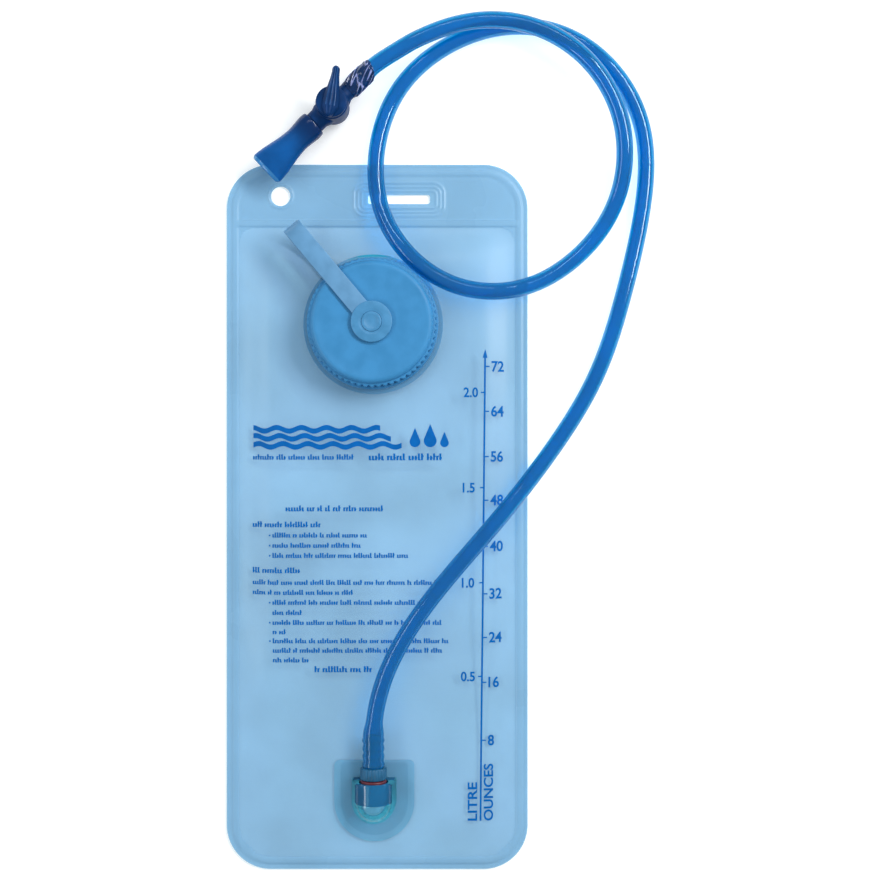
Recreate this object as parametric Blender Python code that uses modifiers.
"""Hydration bladder: a two litre film pouch with a screw cap, an outlet port and a drinking tube.

The pouch lies flat on its back. The origin is the middle of the pouch on the ground, +Y runs towards
the hang slot, +Z points up and lengths are in metres.
"""

import math

import bmesh
import bpy
from mathutils import Vector

# Fits
GAP = 0.0003
OVERCUT = 0.002
ABOVE_FILM = 0.02
MERGE = 0.00001
ALONG_X = (0, math.radians(90), 0)
ALONG_Y = (math.radians(-90), 0, 0)

# Pouch: two welded films
FILM = 0.0005
POUCH_WIDTH = 0.170
POUCH_LENGTH = 0.398
CORNER_RADIUS = 0.025
WELD_WIDTH = 0.007
HEADER_LINE_Y = 0.1636
WELD_TOP_Z = 2 * FILM + GAP
BULGE = 0.0067
BULGE_AT_PORT = 0.0016
BULGE_RUN = 0.014
BULGE_LOW_Y = -0.130
BULGE_HIGH_Y = -0.040
HANG_HOLE = (-0.0546, 0.1812)
HANG_HOLE_RADIUS = 0.0055
HANG_SLOT = (0.0123, 0.1794)
HANG_SLOT_LENGTH = 0.035
HANG_SLOT_WIDTH = 0.0052
HANG_SLOT_CORNER = 0.0012

# Filler neck and cap, on one upright axis
NECK = (-0.0020, 0.1083)
NECK_BORE_RADIUS = 0.0300
NECK_RADIUS = 0.0316
NECK_TOP_Z = 0.0210
NECK_FLANGE_RADIUS = 0.0392
NECK_FLANGE_Z = (0.0060, 0.0072)
THREAD_PITCH = 0.004
THREAD_TURNS = 1.2
THREAD_CREST = 0.0014
THREAD_ROOT_WIDTH = 0.0016
THREAD_CREST_WIDTH = 0.0009
THREAD_START_Z = 0.0130
CAP_BORE_RADIUS = 0.0334
CAP_WALL_RADIUS = 0.0354
CAP_KNURL_RADIUS = 0.0366
CAP_KNURL_DEPTH = 0.0008
CAP_RIBS = 52
CAP_BOTTOM_Z = 0.0098
CAP_UNDERSIDE_Z = 0.0226
CAP_TOP_Z = 0.0244
STUD_NECK_RADIUS = 0.0040
STUD_HEAD_RADIUS = 0.0052
STUD_HEAD_Z = (0.0258, 0.0266)
GASKET_RADII = (0.0295, 0.0330)
GASKET_Z = (0.0213, 0.0223)

# Tether strap: ring, folded strap and eye
RING_RADII = (0.0334, 0.0368)
RING_Z = (0.0083, 0.0095)
STRAP_ANGLE = math.radians(130)
STRAP_WIDTH = 0.0105
STRAP_THICKNESS = 0.0010
STRAP_LOW_Z = 0.0089
STRAP_HIGH_Z = 0.0253
STRAP_FOLD_AT = 0.0695
EYE_RADIUS = 0.01135
EYE_HOLE_RADIUS = 0.0044
EYE_RECESS_RADIUS = 0.0056
EYE_Z = (0.0247, 0.0263)
EYE_RECESS_Z = 0.0255

# Outlet port and plug, on one axis along Y
PORT_X = -0.0016
PORT_AXIS_Z = 0.0112
PORT_FLANGE_Z = (0.0009, 0.0018)
PORT_FLANGE_WIDTH = 0.0452
PORT_FLANGE_Y = (-0.1832, -0.1374)
PORT_FLANGE_CORNER = 0.003
SOCKET_MOUTH_Y = -0.1470
SOCKET_HALF_WIDTH = 0.0124
SOCKET_CENTRE_Z = 0.0080
SOCKET_ROUND_Y = -0.1590
SOCKET_BORE_RADIUS = 0.0082
SOCKET_DRAFT = 0.0001
WATER_WAY_Y = -0.1635
WATER_WAY = (0.0086, 0.0070)
WATER_WAY_CORNER = 0.0015
PLUG_RADIUS = 0.0079
PLUG_COLLAR_RADIUS = 0.0074
PLUG_COLLAR_Y = (-0.1454, -0.1391)
PLUG_NOSE_Y = -0.1658
PLUG_BARB_TIP_Y = -0.1211
PLUG_RING_Y = -0.1469
PLUG_RING_SECTION = 0.00125
PLUG_GROOVE_RADIUS = 0.0053
PLUG_GROOVE_WIDTH = 0.0029
PLUG_NOSE = ((PLUG_RADIUS, 0.0075), (0.0072, 0.0050), (0.0058, 0.0021), (0.0038, 0))
PLUG_BARBS = 4
PLUG_BARB_RADII = (0.0030, 0.0039)
FLOW_RADIUS = 0.0023

# Drinking tube
TUBE_DIAMETER = 0.0095
TUBE_POINTS = 78
TUBE_BEVEL_RESOLUTION = 3

# Valve: its frame has its origin in the hub, X along the flow towards the tube, Z up the spindle
HUB = (-0.0243, 0.2295, 0.0126)
FLOW_ANGLE = math.radians(43.8)
HUB_RADIUS = 0.00905
HUB_Z = (-0.0085, 0.0076)
SPINDLE_BORE_RADIUS = 0.0057
SPINDLE_RADIUS = 0.0054
SPINDLE_RING_Z = 0.0053
SPINDLE_RING_SECTION = 0.0006
SPINDLE_GROOVE_RADIUS = 0.0042
SPINDLE_GROOVE_WIDTH = 0.0016
VALVE_FLOW_RADIUS = 0.0025
SPIGOT_NECK_RADIUS = 0.0060
SPIGOT_RADIUS = 0.0052
SPIGOT_NECK_END = 0.0139
SPIGOT_END = 0.0270
STEM_RADIUS = 0.0049
STEM_COLLAR_END = 0.0125
STEM_END = 0.0216
STEM_BARBS = 2
STEM_BARB_RADII = (0.0032, 0.0043)
SLEEVE_RADII = (0.00505, 0.00575)
SLEEVE_SPAN = (0.0130, 0.0290)
TUBE_END_AT = 0.0220
LEVER_ANGLE = math.radians(37)
LEVER_DISC_RADIUS = 0.0086
LEVER_LENGTH = 0.0194
LEVER_STUB = 0.0088
LEVER_HUB_WIDTH = 0.0093
LEVER_TIP_WIDTH = 0.0037
LEVER_STUB_WIDTH = 0.0044
LEVER_SHOULDER_X = 0.0035
LEVER_Z = (0.0079, 0.0099, 0.0135)
SNAP_HEAD_RADIUS = 0.0066
SNAP_HEAD_Z = (-0.0122, -0.0088)
MOUTH_START = 0.0142
MOUTH_END = 0.0506

# The tube's route, from the plug's barb round the loop to the valve's stem, as points of its centre line
TUBE_ROUTE = (
    (-0.0016, -0.1208, 0.0112),
    (-0.0006, -0.1100, 0.0112),
    (0.0023, -0.0965, 0.0115),
    (0.0087, -0.0793, 0.0125),
    (0.0285, -0.0476, 0.0131),
    (0.0470, -0.0251, 0.0131),
    (0.0665, -0.0024, 0.0130),
    (0.0851, 0.0203, 0.0087),
    (0.1021, 0.0434, 0.0053),
    (0.1237, 0.0799, 0.0049),
    (0.1404, 0.1322, 0.0049),
    (0.1502, 0.1811, 0.0049),
    (0.1499, 0.2177, 0.0049),
    (0.1398, 0.2413, 0.0049),
    (0.1162, 0.2660, 0.0049),
    (0.0900, 0.2753, 0.0049),
    (0.0608, 0.2742, 0.0049),
    (0.0389, 0.2638, 0.0049),
    (0.0195, 0.2503, 0.0049),
    (0.0067, 0.2298, 0.0049),
    (0.0001, 0.2063, 0.0056),
    (0.0004, 0.1808, 0.0072),
    (0.0034, 0.1706, 0.0092),
    (0.0108, 0.1550, 0.0124),
    (0.0190, 0.1460, 0.0131),
    (0.0301, 0.1362, 0.0132),
    (0.0454, 0.1290, 0.0131),
    (0.0640, 0.1257, 0.0130),
    (0.0842, 0.1297, 0.0087),
    (0.1029, 0.1386, 0.0053),
    (0.1310, 0.1688, 0.0053),
    (0.1369, 0.1865, 0.0084),
    (0.1382, 0.2039, 0.0122),
    (0.1365, 0.2187, 0.0147),
    (0.1279, 0.2407, 0.0149),
    (0.1073, 0.2632, 0.0149),
    (0.0771, 0.2757, 0.0149),
    (0.0499, 0.2753, 0.0149),
    (0.0244, 0.2668, 0.0144),
    (0.0121, 0.2602, 0.0134),
)


# ---------------------------------------------------------------- scene, materials and small helpers


def clear_scene():
    for obj in list(bpy.data.objects):
        bpy.data.objects.remove(obj, do_unlink=True)


def new_collection(name):
    collection = bpy.data.collections.new(name)
    bpy.context.scene.collection.children.link(collection)
    return collection


def new_material(name, colour, roughness, metallic=0.0):
    material = bpy.data.materials.new(name)
    material.use_nodes = True
    shader = material.node_tree.nodes["Principled BSDF"]
    shader.inputs["Base Color"].default_value = (*colour, 1.0)
    shader.inputs["Roughness"].default_value = roughness
    shader.inputs["Metallic"].default_value = metallic
    return material


def add_part(name, data, material):
    """A visible sub-part of the bladder."""
    obj = bpy.data.objects.new(name, data)
    PARTS.objects.link(obj)
    data.materials.append(material)
    return obj


def add_cutter(name, data):
    """A hidden helper: a shape that a Boolean joins to a part or cuts from it."""
    obj = bpy.data.objects.new(name, data)
    CUTTERS.objects.link(obj)
    obj.hide_render = True
    obj.display_type = "WIRE"
    return obj


def boolean(obj, other, operation):
    modifier = obj.modifiers.new(f"{operation.title()} {other.name}", "BOOLEAN")
    modifier.operation = operation
    modifier.solver = "EXACT"
    modifier.object = other


def place(obj, location=(0, 0, 0), rotation=(0, 0, 0), parent=None):
    obj.location = location
    obj.rotation_euler = rotation
    obj.parent = parent
    return obj


def empty(name, location, rotation=(0, 0, 0), parent=None):
    obj = bpy.data.objects.new(name, None)
    PARTS.objects.link(obj)
    return place(obj, location, rotation, parent)


def mesh_from(name, bm):
    bmesh.ops.recalc_face_normals(bm, faces=bm.faces)
    mesh = bpy.data.meshes.new(name)
    bm.to_mesh(mesh)
    bm.free()
    return mesh


# ---------------------------------------------------------------- outlines and basic shapes


def arc(centre, radius, start, end, steps):
    """Points along an arc, both ends included, angles in degrees."""
    angles = [math.radians(start + (end - start) * i / steps) for i in range(steps + 1)]
    return [(centre[0] + radius * math.cos(a), centre[1] + radius * math.sin(a)) for a in angles]


def circle(centre, radius, steps):
    return arc(centre, radius, 0, 360, steps)[:-1]


def rounded_rectangle(centre, width, length, radius, steps=6):
    x, y = width / 2 - radius, length / 2 - radius
    points = []
    for quarter, (sx, sy) in enumerate(((1, 1), (-1, 1), (-1, -1), (1, -1))):
        corner = (centre[0] + sx * x, centre[1] + sy * y)
        points += arc(corner, radius, 90 * quarter, 90 * quarter + 90, steps)
    return points


def arch_outline(centre_x, half_width, flat_y, round_y, corner, steps=12):
    """A flat top edge with two rounded corners, straight sides and a half-round bottom."""
    points = arc((centre_x + half_width - corner, flat_y - corner), corner, 0, 90, 4)
    points += arc((centre_x - half_width + corner, flat_y - corner), corner, 90, 180, 4)
    points += arc((centre_x, round_y), half_width, 180, 360, steps)
    return points


def prism(name, outline, low, high):
    """An upright solid with this outline."""
    bm = bmesh.new()
    face = bm.faces.new([bm.verts.new((x, y, low)) for x, y in outline])
    grown = bmesh.ops.extrude_face_region(bm, geom=[face])["geom"]
    top = [item for item in grown if isinstance(item, bmesh.types.BMVert)]
    bmesh.ops.translate(bm, verts=top, vec=(0, 0, high - low))
    return mesh_from(name, bm)


def profile_mesh(name, profile, closed):
    """The edge loop that a Screw modifier turns, from (radius, height) pairs, outer side downwards."""
    points = [(radius, 0, height) for radius, height in profile]
    edges = [(i, i + 1) for i in range(len(points) - 1)]
    if closed:
        edges.append((len(points) - 1, 0))
    mesh = bpy.data.meshes.new(name)
    mesh.from_pydata(points, edges, [])
    return mesh


def turn(obj, steps):
    """Turns the object's profile a full circle round its own Z axis."""
    modifier = obj.modifiers.new("Turn", "SCREW")
    modifier.steps = steps
    modifier.render_steps = steps
    modifier.use_merge_vertices = True
    modifier.merge_threshold = MERGE
    return obj


def sweep(name, sections, ends_joined=False):
    """Skins a row of sections that have the same number of points, and caps or joins its ends."""
    bm = bmesh.new()
    rings = [[bm.verts.new(point) for point in section] for section in sections]
    pairs = list(zip(rings, rings[1:]))
    if ends_joined:
        pairs.append((rings[-1], rings[0]))
    for first, second in pairs:
        for i in range(len(first)):
            j = (i + 1) % len(first)
            bm.faces.new((first[i], first[j], second[j], second[i]))
    if not ends_joined:
        bm.faces.new(rings[0])
        bm.faces.new(rings[-1])
    return mesh_from(name, bm)


def thread(name, root_radius, crest_radius, start_z, start_angle):
    """A right-hand trapezoid ridge round the Z axis, faded out at both ends."""
    per_turn = 40
    count = round(per_turn * THREAD_TURNS)
    fade = 4
    sections = []
    for i in range(count + 1):
        share = min(1.0, (i + 0.5) / fade, (count - i + 0.5) / fade)
        crest = root_radius + (crest_radius - root_radius) * share
        angle = start_angle + 2 * math.pi * i / per_turn
        height = start_z + THREAD_PITCH * i / per_turn
        corners = (
            (root_radius, -THREAD_ROOT_WIDTH / 2),
            (crest, -THREAD_CREST_WIDTH / 2),
            (crest, THREAD_CREST_WIDTH / 2),
            (root_radius, THREAD_ROOT_WIDTH / 2),
        )
        sections.append([(r * math.cos(angle), r * math.sin(angle), height + z) for r, z in corners])
    return sweep(name, sections)


# ---------------------------------------------------------------- the two films


def film_rise(x, y):
    """How far the front film stands above its weld: a raised field that runs down to the welds."""
    half_width = POUCH_WIDTH / 2 - WELD_WIDTH
    low, high = -POUCH_LENGTH / 2 + WELD_WIDTH, HEADER_LINE_Y
    corner = CORNER_RADIUS - WELD_WIDTH
    middle = (low + high) / 2
    qx = abs(x) - half_width + corner
    qy = abs(y - middle) - (high - low) / 2 + corner
    outside = math.hypot(max(qx, 0), max(qy, 0)) + min(max(qx, qy), 0) - corner
    depth = min(max(-outside / BULGE_RUN, 0), 1)
    along = min(max((y - BULGE_LOW_Y) / (BULGE_HIGH_Y - BULGE_LOW_Y), 0), 1)
    height = BULGE_AT_PORT + (BULGE - BULGE_AT_PORT) * along * along * (3 - 2 * along)
    return height * math.sin(math.pi / 2 * depth)


def grid_lines(low, high, edge_steps, middle_cells, margin):
    """Grid lines from past one weld to past the other, close together where the film slopes."""
    start, end = low + sum(edge_steps), high - sum(edge_steps)
    lines = [low - margin, low]
    for step in edge_steps:
        lines.append(lines[-1] + step)
    lines += [start + (end - start) * i / middle_cells for i in range(1, middle_cells + 1)]
    for step in reversed(edge_steps):
        lines.append(lines[-1] + step)
    return lines + [high + margin]


def hang_cutters(name):
    hole = prism(f"{name} hang hole", circle(HANG_HOLE, HANG_HOLE_RADIUS, 20), -OVERCUT, 2 * OVERCUT)
    slot_outline = rounded_rectangle(HANG_SLOT, HANG_SLOT_LENGTH, HANG_SLOT_WIDTH, HANG_SLOT_CORNER, 3)
    slot = prism(f"{name} hang slot", slot_outline, -OVERCUT, 2 * OVERCUT)
    return [add_cutter(hole.name, hole), add_cutter(slot.name, slot)]


def build_back_film(material):
    curve = bpy.data.curves.new("back_film", "CURVE")
    curve.dimensions = "2D"
    curve.fill_mode = "BOTH"
    curve.extrude = FILM / 2
    outlines = (
        rounded_rectangle((0, 0), POUCH_WIDTH, POUCH_LENGTH, CORNER_RADIUS),
        circle(HANG_HOLE, HANG_HOLE_RADIUS, 20),
        rounded_rectangle(HANG_SLOT, HANG_SLOT_LENGTH, HANG_SLOT_WIDTH, HANG_SLOT_CORNER, 3),
    )
    for outline in outlines:
        spline = curve.splines.new("POLY")
        spline.points.add(len(outline) - 1)
        for point, (x, y) in zip(spline.points, outline):
            point.co = (x, y, 0, 1)
        spline.use_cyclic_u = True
    place(add_part("back_film", curve, material), (0, 0, FILM / 2))


def build_front_film(material):
    slope_steps = (0.005, 0.0045, 0.0045)
    half = POUCH_WIDTH / 2
    xs = grid_lines(-half + WELD_WIDTH, half - WELD_WIDTH, slope_steps, 11, WELD_WIDTH + OVERCUT)
    ys = grid_lines(-POUCH_LENGTH / 2 + WELD_WIDTH, HEADER_LINE_Y, slope_steps, 28, WELD_WIDTH + OVERCUT)
    ys[-1] = POUCH_LENGTH / 2 + OVERCUT
    bm = bmesh.new()
    bmesh.ops.create_grid(bm, x_segments=len(xs) - 1, y_segments=len(ys) - 1, size=1)
    for vert in bm.verts:
        x = xs[round((vert.co.x + 1) / 2 * (len(xs) - 1))]
        y = ys[round((vert.co.y + 1) / 2 * (len(ys) - 1))]
        vert.co = (x, y, WELD_TOP_Z + film_rise(x, y))
    film = add_part("front_film", mesh_from("front_film", bm), material)
    solidify = film.modifiers.new("Thickness", "SOLIDIFY")
    solidify.thickness = FILM
    solidify.offset = -1
    outline = rounded_rectangle((0, 0), POUCH_WIDTH, POUCH_LENGTH, CORNER_RADIUS)
    trim = prism("front film outline", outline, -OVERCUT, ABOVE_FILM)
    boolean(film, add_cutter(trim.name, trim), "INTERSECT")
    neck_hole = prism("front film neck hole", circle(NECK, NECK_RADIUS + GAP, 48), 0, ABOVE_FILM)
    socket_outline = arch_outline(
        PORT_X, SOCKET_HALF_WIDTH + 2 * GAP, SOCKET_MOUTH_Y + 2 * GAP, SOCKET_ROUND_Y, 0.001
    )
    socket_hole = prism("front film socket hole", socket_outline, 0, ABOVE_FILM)
    cutters = hang_cutters("front film")
    cutters += [add_cutter(neck_hole.name, neck_hole), add_cutter(socket_hole.name, socket_hole)]
    for cutter in cutters:
        boolean(film, cutter, "DIFFERENCE")


# ---------------------------------------------------------------- filler neck, cap, gasket and strap


def build_filler_neck(material):
    low, high = NECK_FLANGE_Z
    edge = 0.0003
    profile = (
        (NECK_BORE_RADIUS, NECK_TOP_Z),
        (NECK_RADIUS - edge, NECK_TOP_Z),
        (NECK_RADIUS, NECK_TOP_Z - edge),
        (NECK_RADIUS, high),
        (NECK_FLANGE_RADIUS - edge, high),
        (NECK_FLANGE_RADIUS, high - edge),
        (NECK_FLANGE_RADIUS, low),
        (NECK_BORE_RADIUS, low),
    )
    neck = place(add_part("filler_neck", profile_mesh("filler_neck", profile, True), material), (*NECK, 0))
    turn(neck, 48)
    embed = 0.0007
    ridge = thread("neck thread", NECK_RADIUS - embed, NECK_RADIUS + THREAD_CREST, THREAD_START_Z, 0)
    boolean(neck, place(add_cutter(ridge.name, ridge), (*NECK, 0)), "UNION")


def knurl_ring(name, low, high):
    """The cap's ribbed band: every rib has two crest and two root points."""
    outer, inner = [], []
    per_rib = 4
    for i in range(CAP_RIBS * per_rib):
        angle = 2 * math.pi * i / (CAP_RIBS * per_rib)
        radius = CAP_KNURL_RADIUS - (CAP_KNURL_DEPTH if i % per_rib < per_rib / 2 else 0)
        outer.append((radius * math.cos(angle), radius * math.sin(angle)))
        inner_radius = (CAP_BORE_RADIUS + CAP_WALL_RADIUS) / 2
        inner.append((inner_radius * math.cos(angle), inner_radius * math.sin(angle)))
    rings = ((outer, low), (outer, high), (inner, high), (inner, low))
    sections = [[(x, y, z) for x, y in points] for points, z in rings]
    return sweep(name, sections, ends_joined=True)


def build_screw_cap(axis, material):
    round_over = 0.0022
    shoulder = (CAP_WALL_RADIUS - round_over, CAP_TOP_Z - round_over)
    top_edge = arc(shoulder, round_over, 90, 0, 3)
    head_low, head_high = STUD_HEAD_Z
    edge = 0.0003
    profile = [
        (0, head_high),
        (STUD_HEAD_RADIUS - edge, head_high),
        (STUD_HEAD_RADIUS, head_high - edge),
        (STUD_HEAD_RADIUS, head_low),
        (STUD_NECK_RADIUS, head_low),
        (STUD_NECK_RADIUS, CAP_TOP_Z),
        *top_edge,
        (CAP_WALL_RADIUS, CAP_BOTTOM_Z),
        (CAP_BORE_RADIUS, CAP_BOTTOM_Z),
        (CAP_BORE_RADIUS, CAP_UNDERSIDE_Z),
        (0, CAP_UNDERSIDE_Z),
    ]
    cap = place(add_part("screw_cap", profile_mesh("screw_cap", profile, False), material), parent=axis)
    turn(cap, 48)
    band = knurl_ring("cap knurl", CAP_BOTTOM_Z + edge, CAP_TOP_Z - round_over - edge)
    boolean(cap, place(add_cutter(band.name, band), parent=axis), "UNION")
    embed = 0.0008
    start = THREAD_START_Z - THREAD_PITCH / 2
    ridge = thread("cap thread", CAP_BORE_RADIUS + embed, CAP_BORE_RADIUS - THREAD_CREST, start, 0)
    boolean(cap, place(add_cutter(ridge.name, ridge), parent=axis), "UNION")


def ring_profile(radii, heights):
    inner, outer = radii
    low, high = heights
    return ((inner, high), (outer, high), (outer, low), (inner, low))


def build_cap_gasket(axis, material):
    mesh = profile_mesh("cap_gasket", ring_profile(GASKET_RADII, GASKET_Z), True)
    turn(place(add_part("cap_gasket", mesh, material), parent=axis), 48)


def strap_path():
    """The strap's centre line as (distance from the neck's axis, height): out, round the fold and back."""
    fold_radius = (STRAP_HIGH_Z - STRAP_LOW_Z) / 2
    fold_centre = (STRAP_FOLD_AT - fold_radius, (STRAP_HIGH_Z + STRAP_LOW_Z) / 2)
    start = [(0.0350, STRAP_LOW_Z), (0.0470, STRAP_LOW_Z)]
    end = [(0.0450, STRAP_HIGH_Z), (0.0300, STRAP_HIGH_Z), (0.0080, STRAP_HIGH_Z)]
    return start + arc(fold_centre, fold_radius, -90, 90, 10) + end


def ribbon(name, path, width, thickness):
    """A strap of rectangular section along a path in its own XZ plane."""
    points = [Vector((x, 0, z)) for x, z in path]
    sections = []
    for i, point in enumerate(points):
        ahead = points[min(i + 1, len(points) - 1)] - points[max(i - 1, 0)]
        normal = Vector((-ahead.z, 0, ahead.x)).normalized() * thickness / 2
        side = Vector((0, width / 2, 0))
        corners = (normal + side, normal - side, -normal - side, side - normal)
        sections.append([point + corner for corner in corners])
    return sweep(name, sections)


def build_tether_strap(axis, material):
    mesh = profile_mesh("tether_strap", ring_profile(RING_RADII, RING_Z), True)
    strap = turn(place(add_part("tether_strap", mesh, material), parent=axis), 48)
    band = ribbon("strap band", strap_path(), STRAP_WIDTH, STRAP_THICKNESS)
    boolean(strap, place(add_cutter(band.name, band), rotation=(0, 0, STRAP_ANGLE), parent=axis), "UNION")
    low, high = EYE_Z
    disc_profile = ((0, high), (EYE_RADIUS, high), (EYE_RADIUS, low), (0, low))
    disc = add_cutter("strap eye", profile_mesh("strap eye", disc_profile, False))
    boolean(strap, turn(place(disc, parent=axis), 40), "UNION")
    hole_profile = (
        (0, high + OVERCUT),
        (EYE_RECESS_RADIUS, high + OVERCUT),
        (EYE_RECESS_RADIUS, EYE_RECESS_Z),
        (EYE_HOLE_RADIUS, EYE_RECESS_Z),
        (EYE_HOLE_RADIUS, low - GAP),
        (0, low - GAP),
    )
    hole = add_cutter("strap eye hole", profile_mesh("strap eye hole", hole_profile, False))
    boolean(strap, turn(place(hole, parent=axis), 32), "DIFFERENCE")


# ---------------------------------------------------------------- outlet port and plug


def build_port_housing(material):
    """A welded flange with a closed round socket on it, whose bore takes the plug."""
    low, high = PORT_FLANGE_Z
    far_y, near_y = PORT_FLANGE_Y
    flange_half = PORT_FLANGE_WIDTH / 2
    flange_outline = arch_outline(PORT_X, flange_half, near_y, far_y + flange_half, PORT_FLANGE_CORNER, 20)
    housing = add_part("port_housing", prism("port_housing", flange_outline, low, high), material)
    foot_outline = arch_outline(PORT_X, SOCKET_HALF_WIDTH, SOCKET_MOUTH_Y, SOCKET_ROUND_Y, 0.0005, 16)
    foot = prism("socket foot", foot_outline, (low + high) / 2, SOCKET_CENTRE_Z)
    boolean(housing, add_cutter(foot.name, foot), "UNION")

    reach = SOCKET_MOUTH_Y - SOCKET_ROUND_Y
    radius = SOCKET_HALF_WIDTH - SOCKET_DRAFT
    shell_profile = [(0, reach - SOCKET_DRAFT), (radius, reach - SOCKET_DRAFT), *dome(radius, radius, 8)]
    shell = add_cutter("socket shell", profile_mesh("socket shell", shell_profile, False))
    turn(place(shell, (PORT_X, SOCKET_ROUND_Y, SOCKET_CENTRE_Z), ALONG_Y), 40)
    block = rounded_rectangle((PORT_X, SOCKET_ROUND_Y), 4 * radius, 4 * radius, radius)
    below = prism("below socket", block, -2 * radius, low + 0.7 * (high - low))
    boolean(shell, add_cutter(below.name, below), "DIFFERENCE")
    boolean(housing, shell, "UNION")

    radius = SOCKET_BORE_RADIUS
    bore_profile = [(0, reach + OVERCUT), (radius, reach + OVERCUT), (radius, 0)]
    bore_profile += dome(0.98 * radius, 0.98 * radius, 6)
    bore = add_cutter("socket bore", profile_mesh("socket bore", bore_profile, False))
    turn(place(bore, (PORT_X, SOCKET_ROUND_Y, PORT_AXIS_Z), ALONG_Y), 32)
    boolean(housing, bore, "DIFFERENCE")
    outlet = rounded_rectangle((PORT_X, WATER_WAY_Y), *WATER_WAY, WATER_WAY_CORNER, 3)
    outlet = prism("port water way", outlet, -OVERCUT, SOCKET_CENTRE_Z)
    boolean(housing, add_cutter(outlet.name, outlet), "DIFFERENCE")


def dome(radius, depth, steps):
    """The profile of a round end below height 0, as (radius, height) pairs down to the axis."""
    angles = [math.pi / 2 * i / steps for i in range(steps + 1)]
    return [(radius * math.cos(a), -depth * math.sin(a)) for a in angles]


def barbs(start, end, radii, count):
    """A barbed length as (radius, height) pairs from its tip at start down to end, each barb facing back."""
    core, crest = radii
    step = (start - end) / count
    points = []
    for i in range(count):
        top = start - step * i
        points += [(core, top), (crest, top - step * 0.7), (core, top - step * 0.75)]
    return points + [(core, end)]


def build_hose_connector(frame, material):
    """The plug's own heights run from the nose at 0 up to the barb's tip."""
    collar_low, collar_high = (y - PLUG_NOSE_Y for y in PLUG_COLLAR_Y)
    tip = PLUG_BARB_TIP_Y - PLUG_NOSE_Y
    groove = PLUG_RING_Y - PLUG_NOSE_Y
    groove_high, groove_low = groove + PLUG_GROOVE_WIDTH / 2, groove - PLUG_GROOVE_WIDTH / 2
    edge = 0.0005
    profile = [
        (FLOW_RADIUS, tip),
        *barbs(tip, collar_high, PLUG_BARB_RADII, PLUG_BARBS),
        (PLUG_COLLAR_RADIUS - edge, collar_high),
        (PLUG_COLLAR_RADIUS, collar_high - edge),
        (PLUG_COLLAR_RADIUS, max(collar_low, groove_high)),
        (PLUG_GROOVE_RADIUS, max(collar_low, groove_high)),
        (PLUG_GROOVE_RADIUS, groove_low),
        (PLUG_RADIUS, groove_low),
        *PLUG_NOSE,
        (FLOW_RADIUS, 0),
    ]
    plug = add_part("hose_connector", profile_mesh("hose_connector", profile, True), material)
    turn(place(plug, parent=frame), 24)


def add_torus(name, mean_radius, section_radius, material):
    bpy.ops.mesh.primitive_torus_add(
        major_radius=mean_radius, minor_radius=section_radius, major_segments=28, minor_segments=6
    )
    made = bpy.context.object
    mesh = made.data
    bpy.data.objects.remove(made, do_unlink=True)
    mesh.name = name
    return add_part(name, mesh, material)


def build_connector_o_ring(frame, material):
    mean = PLUG_GROOVE_RADIUS + 0.0002 + PLUG_RING_SECTION
    place(
        add_torus("connector_o_ring", mean, PLUG_RING_SECTION, material),
        (0, 0, PLUG_RING_Y - PLUG_NOSE_Y),
        parent=frame,
    )


# ---------------------------------------------------------------- drinking tube


def smooth_points(route, count):
    """Evenly spaced points on a smooth curve (centripetal Catmull-Rom) through the route's points."""
    route = [Vector(point) for point in route]
    route = [2 * route[0] - route[1], *route, 2 * route[-1] - route[-2]]
    dense = []
    for p0, p1, p2, p3 in zip(route, route[1:], route[2:], route[3:]):
        t1 = (p1 - p0).length ** 0.5
        t2 = t1 + (p2 - p1).length ** 0.5
        t3 = t2 + (p3 - p2).length ** 0.5
        for i in range(24):
            t = t1 + (t2 - t1) * i / 24
            a1 = p0.lerp(p1, t / t1)
            a2 = p1.lerp(p2, (t - t1) / (t2 - t1))
            a3 = p2.lerp(p3, (t - t2) / (t3 - t2))
            b1 = a1.lerp(a2, t / t2)
            b2 = a2.lerp(a3, (t - t1) / (t3 - t1))
            dense.append(b1.lerp(b2, (t - t1) / (t2 - t1)))
    dense.append(route[-2])
    reach = [0.0]
    for first, second in zip(dense, dense[1:]):
        reach.append(reach[-1] + (second - first).length)
    points, j = [], 0
    for i in range(count):
        target = reach[-1] * i / (count - 1)
        while j < len(dense) - 2 and reach[j + 1] < target:
            j += 1
        share = (target - reach[j]) / (reach[j + 1] - reach[j])
        points.append(dense[j].lerp(dense[j + 1], min(share, 1)))
    return points


def along_flow(distance):
    """A point on the valve's flow axis, this far from the hub towards the tube."""
    x, y, z = HUB
    return (x + distance * math.cos(FLOW_ANGLE), y + distance * math.sin(FLOW_ANGLE), z)


def build_drinking_tube(material):
    route = (*TUBE_ROUTE, along_flow(0.0325), along_flow(0.0270), along_flow(TUBE_END_AT))
    curve = bpy.data.curves.new("drinking_tube", "CURVE")
    curve.dimensions = "3D"
    curve.bevel_depth = TUBE_DIAMETER / 2
    curve.bevel_resolution = TUBE_BEVEL_RESOLUTION
    curve.use_fill_caps = True
    spline = curve.splines.new("POLY")
    spline.points.add(TUBE_POINTS - 1)
    for point, place_on_route in zip(spline.points, smooth_points(route, TUBE_POINTS)):
        point.co = (*place_on_route, 1)
    add_part("drinking_tube", curve, material)


# ---------------------------------------------------------------- valve, lever and mouthpiece


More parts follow.
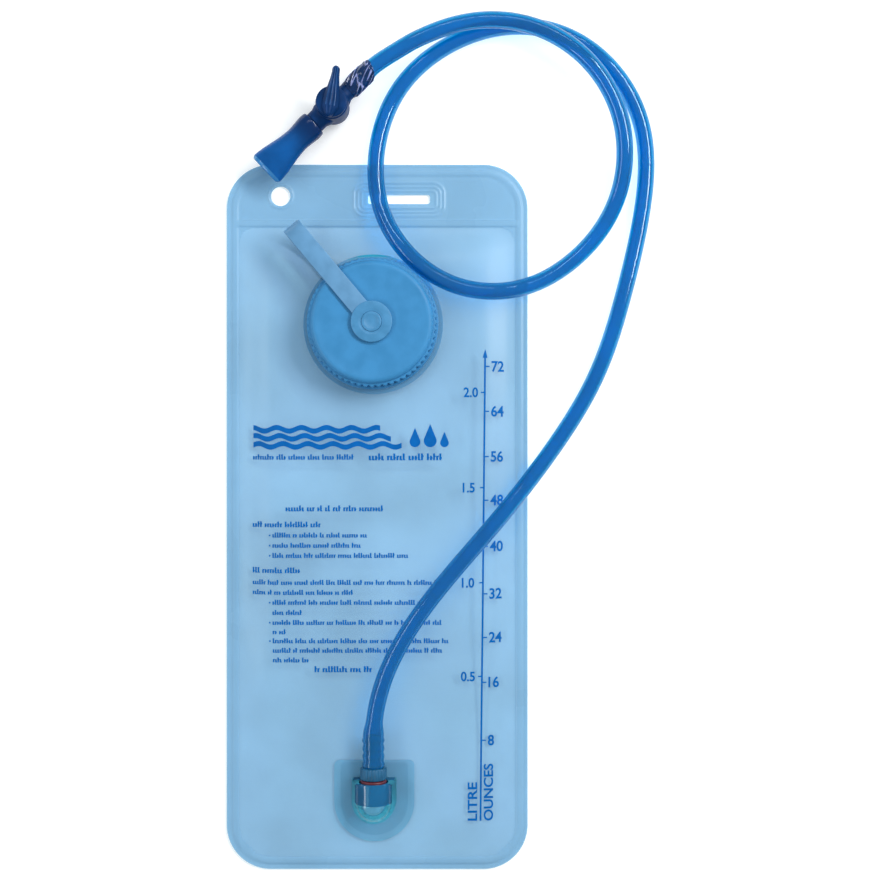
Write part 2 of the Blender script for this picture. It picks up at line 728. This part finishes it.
def build_valve_body(frame, material):
    low, high = HUB_Z
    edge = 0.0014
    hub_profile = [
        (0, high),
        *arc((HUB_RADIUS - edge, high - edge), edge, 90, 0, 3),
        *arc((HUB_RADIUS - edge, low + edge), edge, 0, -90, 3),
        (0, low),
    ]
    body = add_part("valve_body", profile_mesh("valve_body", hub_profile, False), material)
    turn(place(body, parent=frame), 32)
    pipe_profile = [
        (0, STEM_END),
        *barbs(STEM_END, STEM_COLLAR_END, STEM_BARB_RADII, STEM_BARBS),
        (STEM_RADIUS, STEM_COLLAR_END),
        (STEM_RADIUS, 0),
        (SPIGOT_NECK_RADIUS, 0),
        (SPIGOT_NECK_RADIUS, -SPIGOT_NECK_END),
        (SPIGOT_RADIUS, -SPIGOT_NECK_END),
        (SPIGOT_RADIUS, -SPIGOT_END + edge),
        (SPIGOT_RADIUS - edge, -SPIGOT_END),
        (0, -SPIGOT_END),
    ]
    pipe = add_cutter("valve pipe", profile_mesh("valve pipe", pipe_profile, False))
    boolean(body, turn(place(pipe, rotation=ALONG_X, parent=frame), 24), "UNION")
    spindle_outline = circle((0, 0), SPINDLE_BORE_RADIUS, 32)
    spindle_bore = prism("spindle bore", spindle_outline, low - OVERCUT, high + OVERCUT)
    boolean(body, place(add_cutter(spindle_bore.name, spindle_bore), parent=frame), "DIFFERENCE")
    flow_bore = prism(
        "flow bore", circle((0, 0), VALVE_FLOW_RADIUS, 20), -SPIGOT_END - OVERCUT, STEM_END + OVERCUT
    )
    flow_bore = place(add_cutter(flow_bore.name, flow_bore), rotation=ALONG_X, parent=frame)
    boolean(body, flow_bore, "DIFFERENCE")


def build_tube_sleeve(frame, material):
    mesh = profile_mesh("tube_sleeve", ring_profile(SLEEVE_RADII, SLEEVE_SPAN), True)
    turn(place(add_part("tube_sleeve", mesh, material), rotation=ALONG_X, parent=frame), 24)


def build_valve_lever(frame, material):
    disc_low, disc_high, grip_high = LEVER_Z
    head_low, head_high = SNAP_HEAD_Z
    groove_high = SPINDLE_RING_Z + SPINDLE_GROOVE_WIDTH / 2
    groove_low = SPINDLE_RING_Z - SPINDLE_GROOVE_WIDTH / 2
    profile = (
        (0, disc_high),
        (LEVER_DISC_RADIUS - 0.0006, disc_high),
        (LEVER_DISC_RADIUS, disc_high - 0.0006),
        (LEVER_DISC_RADIUS, disc_low),
        (SPINDLE_RADIUS, disc_low),
        (SPINDLE_RADIUS, groove_high),
        (SPINDLE_GROOVE_RADIUS, groove_high),
        (SPINDLE_GROOVE_RADIUS, groove_low),
        (SPINDLE_RADIUS, groove_low),
        (SPINDLE_RADIUS, head_high),
        (SNAP_HEAD_RADIUS, head_high),
        (SPINDLE_RADIUS, head_low),
        (0, head_low),
    )
    lever = add_part("valve_lever", profile_mesh("valve_lever", profile, False), material)
    turn(place(lever, parent=frame), 28)
    tip_radius = LEVER_TIP_WIDTH / 2
    tip = arc((LEVER_LENGTH - tip_radius, 0), tip_radius, -80, 80, 6)
    hub_half = LEVER_HUB_WIDTH / 2
    stub_half = LEVER_STUB_WIDTH / 2
    outline = [(-LEVER_STUB, -stub_half), (-LEVER_SHOULDER_X, -hub_half), (LEVER_SHOULDER_X, -hub_half), *tip]
    outline += [(LEVER_SHOULDER_X, hub_half), (-LEVER_SHOULDER_X, hub_half), (-LEVER_STUB, stub_half)]
    grip = prism("lever grip", outline, disc_high - 0.0008, grip_high)
    boolean(lever, place(add_cutter(grip.name, grip), parent=frame), "UNION")
    cross_bore = prism("spindle cross bore", circle((0, 0), VALVE_FLOW_RADIUS, 20), -HUB_RADIUS, HUB_RADIUS)
    cross_bore = place(add_cutter(cross_bore.name, cross_bore), rotation=ALONG_X, parent=frame)
    boolean(lever, cross_bore, "DIFFERENCE")


def build_spindle_o_ring(frame, material):
    mean = (SPINDLE_GROOVE_RADIUS + SPINDLE_BORE_RADIUS) / 2
    ring = add_torus("spindle_o_ring", mean, SPINDLE_RING_SECTION, material)
    place(ring, (0, 0, SPINDLE_RING_Z), parent=frame)


def oval(x, half_width, half_height, steps=28):
    """A section of the mouthpiece across the flow axis."""
    angles = [2 * math.pi * i / steps for i in range(steps)]
    return [(x, half_width * math.cos(a), half_height * math.sin(a)) for a in angles]


def build_mouthpiece(frame, material):
    """Outside from the valve to the flared mouth, then inside from the slit back over the spigot."""
    outside = (
        (MOUTH_START, 0.0072, 0.0072),
        (0.0149, 0.0076, 0.0076),
        (0.0200, 0.0077, 0.0077),
        (0.0270, 0.0074, 0.0073),
        (0.0340, 0.0080, 0.0068),
        (0.0420, 0.0093, 0.0061),
        (0.0485, 0.0104, 0.0055),
        (MOUTH_END, 0.01065, 0.0050),
    )
    inside = (
        (MOUTH_END, 0.0072, 0.0005),
        (0.0485, 0.0074, 0.0005),
        (0.0470, 0.0080, 0.0022),
        (0.0400, 0.0070, 0.0036),
        (0.0310, 0.0052, 0.0048),
        (0.0280, 0.0055, 0.0055),
        (MOUTH_START, 0.0055, 0.0055),
    )
    sections = [oval(-x, width, height) for x, width, height in (*outside, *inside)]
    mesh = sweep("mouthpiece", sections, ends_joined=True)
    place(add_part("mouthpiece", mesh, material), parent=frame)


# ---------------------------------------------------------------- the whole bladder


def main():
    film = new_material("film", (0.26, 0.48, 0.75), 0.42)
    fitting = new_material("fitting", (0.05, 0.22, 0.45), 0.35)
    cap_blue = new_material("cap_plastic", (0.08, 0.30, 0.67), 0.45)
    strap_blue = new_material("strap_plastic", (0.18, 0.38, 0.66), 0.45)
    valve_blue = new_material("valve_plastic", (0.01, 0.05, 0.18), 0.25)
    tube_blue = new_material("tube_plastic", (0.01, 0.11, 0.40), 0.12)
    mouth_blue = new_material("mouth_silicone", (0.01, 0.10, 0.36), 0.3)
    clear = new_material("clear_shrink", (0.75, 0.82, 0.92), 0.1)
    white_rubber = new_material("gasket_silicone", (0.75, 0.78, 0.80), 0.6)
    red_rubber = new_material("red_rubber", (0.32, 0.04, 0.04), 0.5)
    black_rubber = new_material("black_rubber", (0.02, 0.02, 0.02), 0.6)

    build_back_film(film)
    build_front_film(film)
    build_filler_neck(fitting)
    build_port_housing(fitting)

    lift_axis = empty("cap_lift_axis", (*NECK, 0))
    build_tether_strap(lift_axis, strap_blue)
    cap_axis = empty("cap_turn_axis", (0, 0, 0), parent=lift_axis)
    build_screw_cap(cap_axis, cap_blue)
    build_cap_gasket(cap_axis, white_rubber)

    plug_frame = empty("plug_axis", (PORT_X, PLUG_NOSE_Y, PORT_AXIS_Z), (math.radians(-90), 0, 0))
    build_hose_connector(plug_frame, fitting)
    build_connector_o_ring(plug_frame, red_rubber)
    build_drinking_tube(tube_blue)

    valve_frame = empty("valve_frame", HUB, (0, 0, FLOW_ANGLE))
    build_valve_body(valve_frame, valve_blue)
    build_tube_sleeve(valve_frame, clear)
    lever_frame = empty("lever_axis", (0, 0, 0), (0, 0, LEVER_ANGLE), valve_frame)
    build_valve_lever(lever_frame, valve_blue)
    build_spindle_o_ring(lever_frame, black_rubber)
    build_mouthpiece(valve_frame, mouth_blue)


clear_scene()
PARTS = new_collection("hydration_bladder")
CUTTERS = new_collection("cutters")
main()
